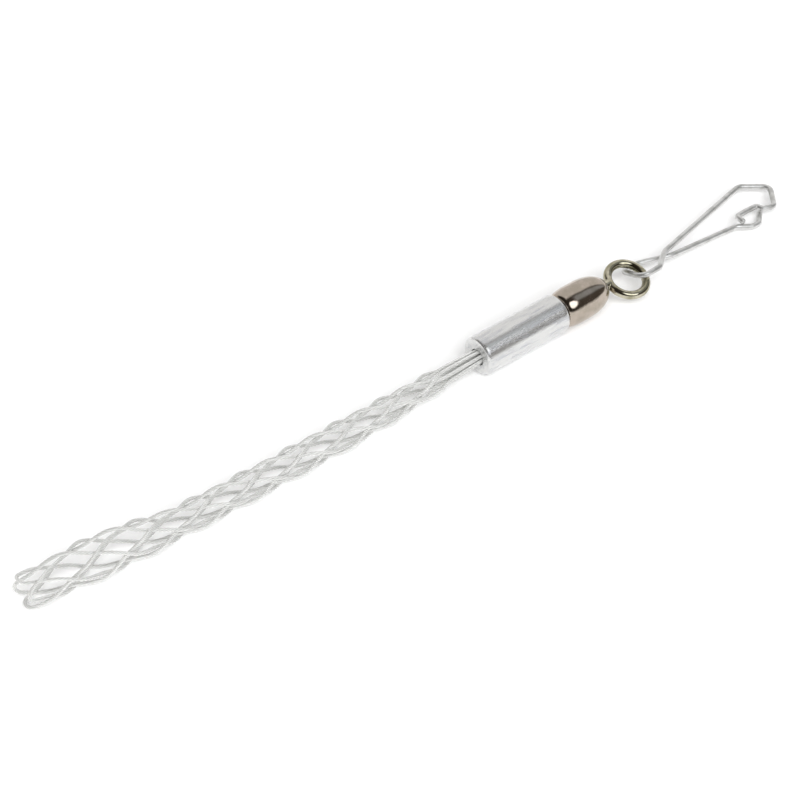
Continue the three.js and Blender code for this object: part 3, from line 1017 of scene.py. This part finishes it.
# %% The clip's bent line
CLIP_WIRE_RADIUS = 0.55
CLIP_STACK_GAP = 0.1
CLIP_INSET = 1.75
CLIP_HEIGHT = 3.4
LOOP_RISE = 1.1
NEAR_RISE = 0.75
LONG_TIP = (27.2, -1.7)
LONG_HOOK_SIDE = (27.5, 0.3)
LONG_HOOK_TOP = (30.1, 0.5)
LONG_HOOK_ROOT = (33, 0.5)
LEG_FOOT = (33.2, -0.8)
LEG_END = (35.6, -1.5)
LEG_CORNER = (39.9, 3.4)
LONG_ARM_END = (35, 6.9)
LONG_CROSSING = (8.7, 0.35)
LOOP_LENGTH = 4.2
LOOP_LOW_SIDE = -2.9
LOOP_HIGH_SIDE = 2.2
SHORT_CROSSING = (10.1, -0.1)
SHORT_ARM_END = (26.3, -0.75)
SHORT_HOOK_START = (28.9, -2.5)
SHORT_HOOK_END = (30.6, -2.5)
SHORT_TIP = (33.6, 0)
HOOK_BEND = 0.8
WIDE_HOOK_BEND = 1.3
LEG_BEND = 1.4
CORNER_BEND = 1.6
ARM_BEND = 2.2
LOOP_BEND = 1.7
LOOP_LOW_BEND = 1.2
CROSSING_BEND = 4
BEND_STEPS = 16
BEND_SHARE = 0.49

clip_rise = CLIP_WIRE_RADIUS + CLIP_STACK_GAP / 2
clip_slope = math.asin((CLIP_HEIGHT - clip_rise - CLIP_WIRE_RADIUS) / LEG_END[0])


def clip_corners():
    """Each corner as along, across and up on the clip, with its bend."""
    up, down = clip_rise, -clip_rise
    return [
        (*LONG_TIP, up, HOOK_BEND),
        (*LONG_HOOK_SIDE, up, HOOK_BEND),
        (*LONG_HOOK_TOP, up, HOOK_BEND),
        (*LONG_HOOK_ROOT, up, HOOK_BEND),
        (*LEG_FOOT, up, HOOK_BEND),
        (*LEG_END, up, LEG_BEND),
        (*LEG_CORNER, up, CORNER_BEND),
        (*LONG_ARM_END, up, ARM_BEND),
        (*LONG_CROSSING, up, CROSSING_BEND),
        (LOOP_LENGTH, LOOP_LOW_SIDE, LOOP_RISE, LOOP_LOW_BEND),
        (0, LOOP_LOW_SIDE, NEAR_RISE, LOOP_BEND),
        (0, LOOP_HIGH_SIDE, -LOOP_RISE, LOOP_BEND),
        (LOOP_LENGTH, LOOP_HIGH_SIDE, -LOOP_RISE, CROSSING_BEND),
        (*SHORT_CROSSING, down, CROSSING_BEND),
        (*SHORT_ARM_END, down, ARM_BEND),
        (*SHORT_HOOK_START, down, WIDE_HOOK_BEND),
        (*SHORT_HOOK_END, down, WIDE_HOOK_BEND),
        (*SHORT_TIP, down, HOOK_BEND),
    ]


def on_clip(point):
    """A point given in the clip's own axes, moved to its place on the ring."""
    along, across, up = point
    slope, rise = math.cos(clip_slope), math.sin(clip_slope)
    from_ring = ring_centre + RING_RADIUS - CLIP_INSET + along * slope + up * rise
    return Vector((from_ring, across, CLIP_HEIGHT - along * rise + up * slope))


def bent_line(corners):
    """A line through corners, each one rounded to its bend."""
    points = [Vector(corners[0][:3])]
    for before, corner, after in zip(corners, corners[1:], corners[2:]):
        at = Vector(corner[:3])
        back_way, on_way = Vector(before[:3]) - at, Vector(after[:3]) - at
        most = min(back_way.length, on_way.length) * BEND_SHARE
        cut = min(corner[3] / math.tan(back_way.angle(on_way) / 2), most)
        start, end = at + back_way.normalized() * cut, at + on_way.normalized() * cut
        points += curve(start, at, end, BEND_STEPS)
    points.append(Vector(corners[-1][:3]))
    return points


clip_line = [on_clip(point) for point in bent_line(clip_corners())]
clip_length = sum((b - a).length for a, b in zip(clip_line, clip_line[1:]))
print(f"clip: {clip_length:.0f} mm of wire")

# %% The clip's wire
CLIP_SHOWN_RADIUS = 0.515
CLIP_STEP = 0.12
CLIP_SECTION = 20
END_ROUNDING = 0.22
END_LEAST = 0.3


def bent_wire():
    """A round wire along a line, which narrows in a quarter circle to each cut end."""
    sizes = {"Wire_radius": "Float", "Step": "Float", "Section": "Int", "End_rounding": "Float"}
    tree, given = shape_tree("bent_wire", **sizes)
    start = given["Geometry"]
    line = even_line(start, given["Step"])
    travelled = start.node("GeometryNodeSplineParameter", output="Length")
    whole = start.node("GeometryNodeSplineLength", output="Length")
    from_end = start.math("MINIMUM", travelled, whole - travelled)
    short = 1 - start.math("MINIMUM", from_end / given["End_rounding"], 1)
    round_off = start.math("SQRT", 1 - short * short)
    scale = END_LEAST + (1 - END_LEAST) * round_off
    end_tree(tree, swept(line, given["Wire_radius"], given["Section"], scale), given["Finish"])
    return tree


clip = grow(
    line_object("clip_wire", clip_line),
    bent_wire(),
    Wire_radius=CLIP_SHOWN_RADIUS * MM,
    Step=CLIP_STEP * MM,
    Section=CLIP_SECTION,
    End_rounding=END_ROUNDING * MM,
    Finish=wire_finish,
)
fit(clip, "clip", "spring_wire", "snap_clip")

# %% [markdown]
# ## Done
# The dressed tool has to stay in the box that the solids take up.

# %% End
print("all pieces made")
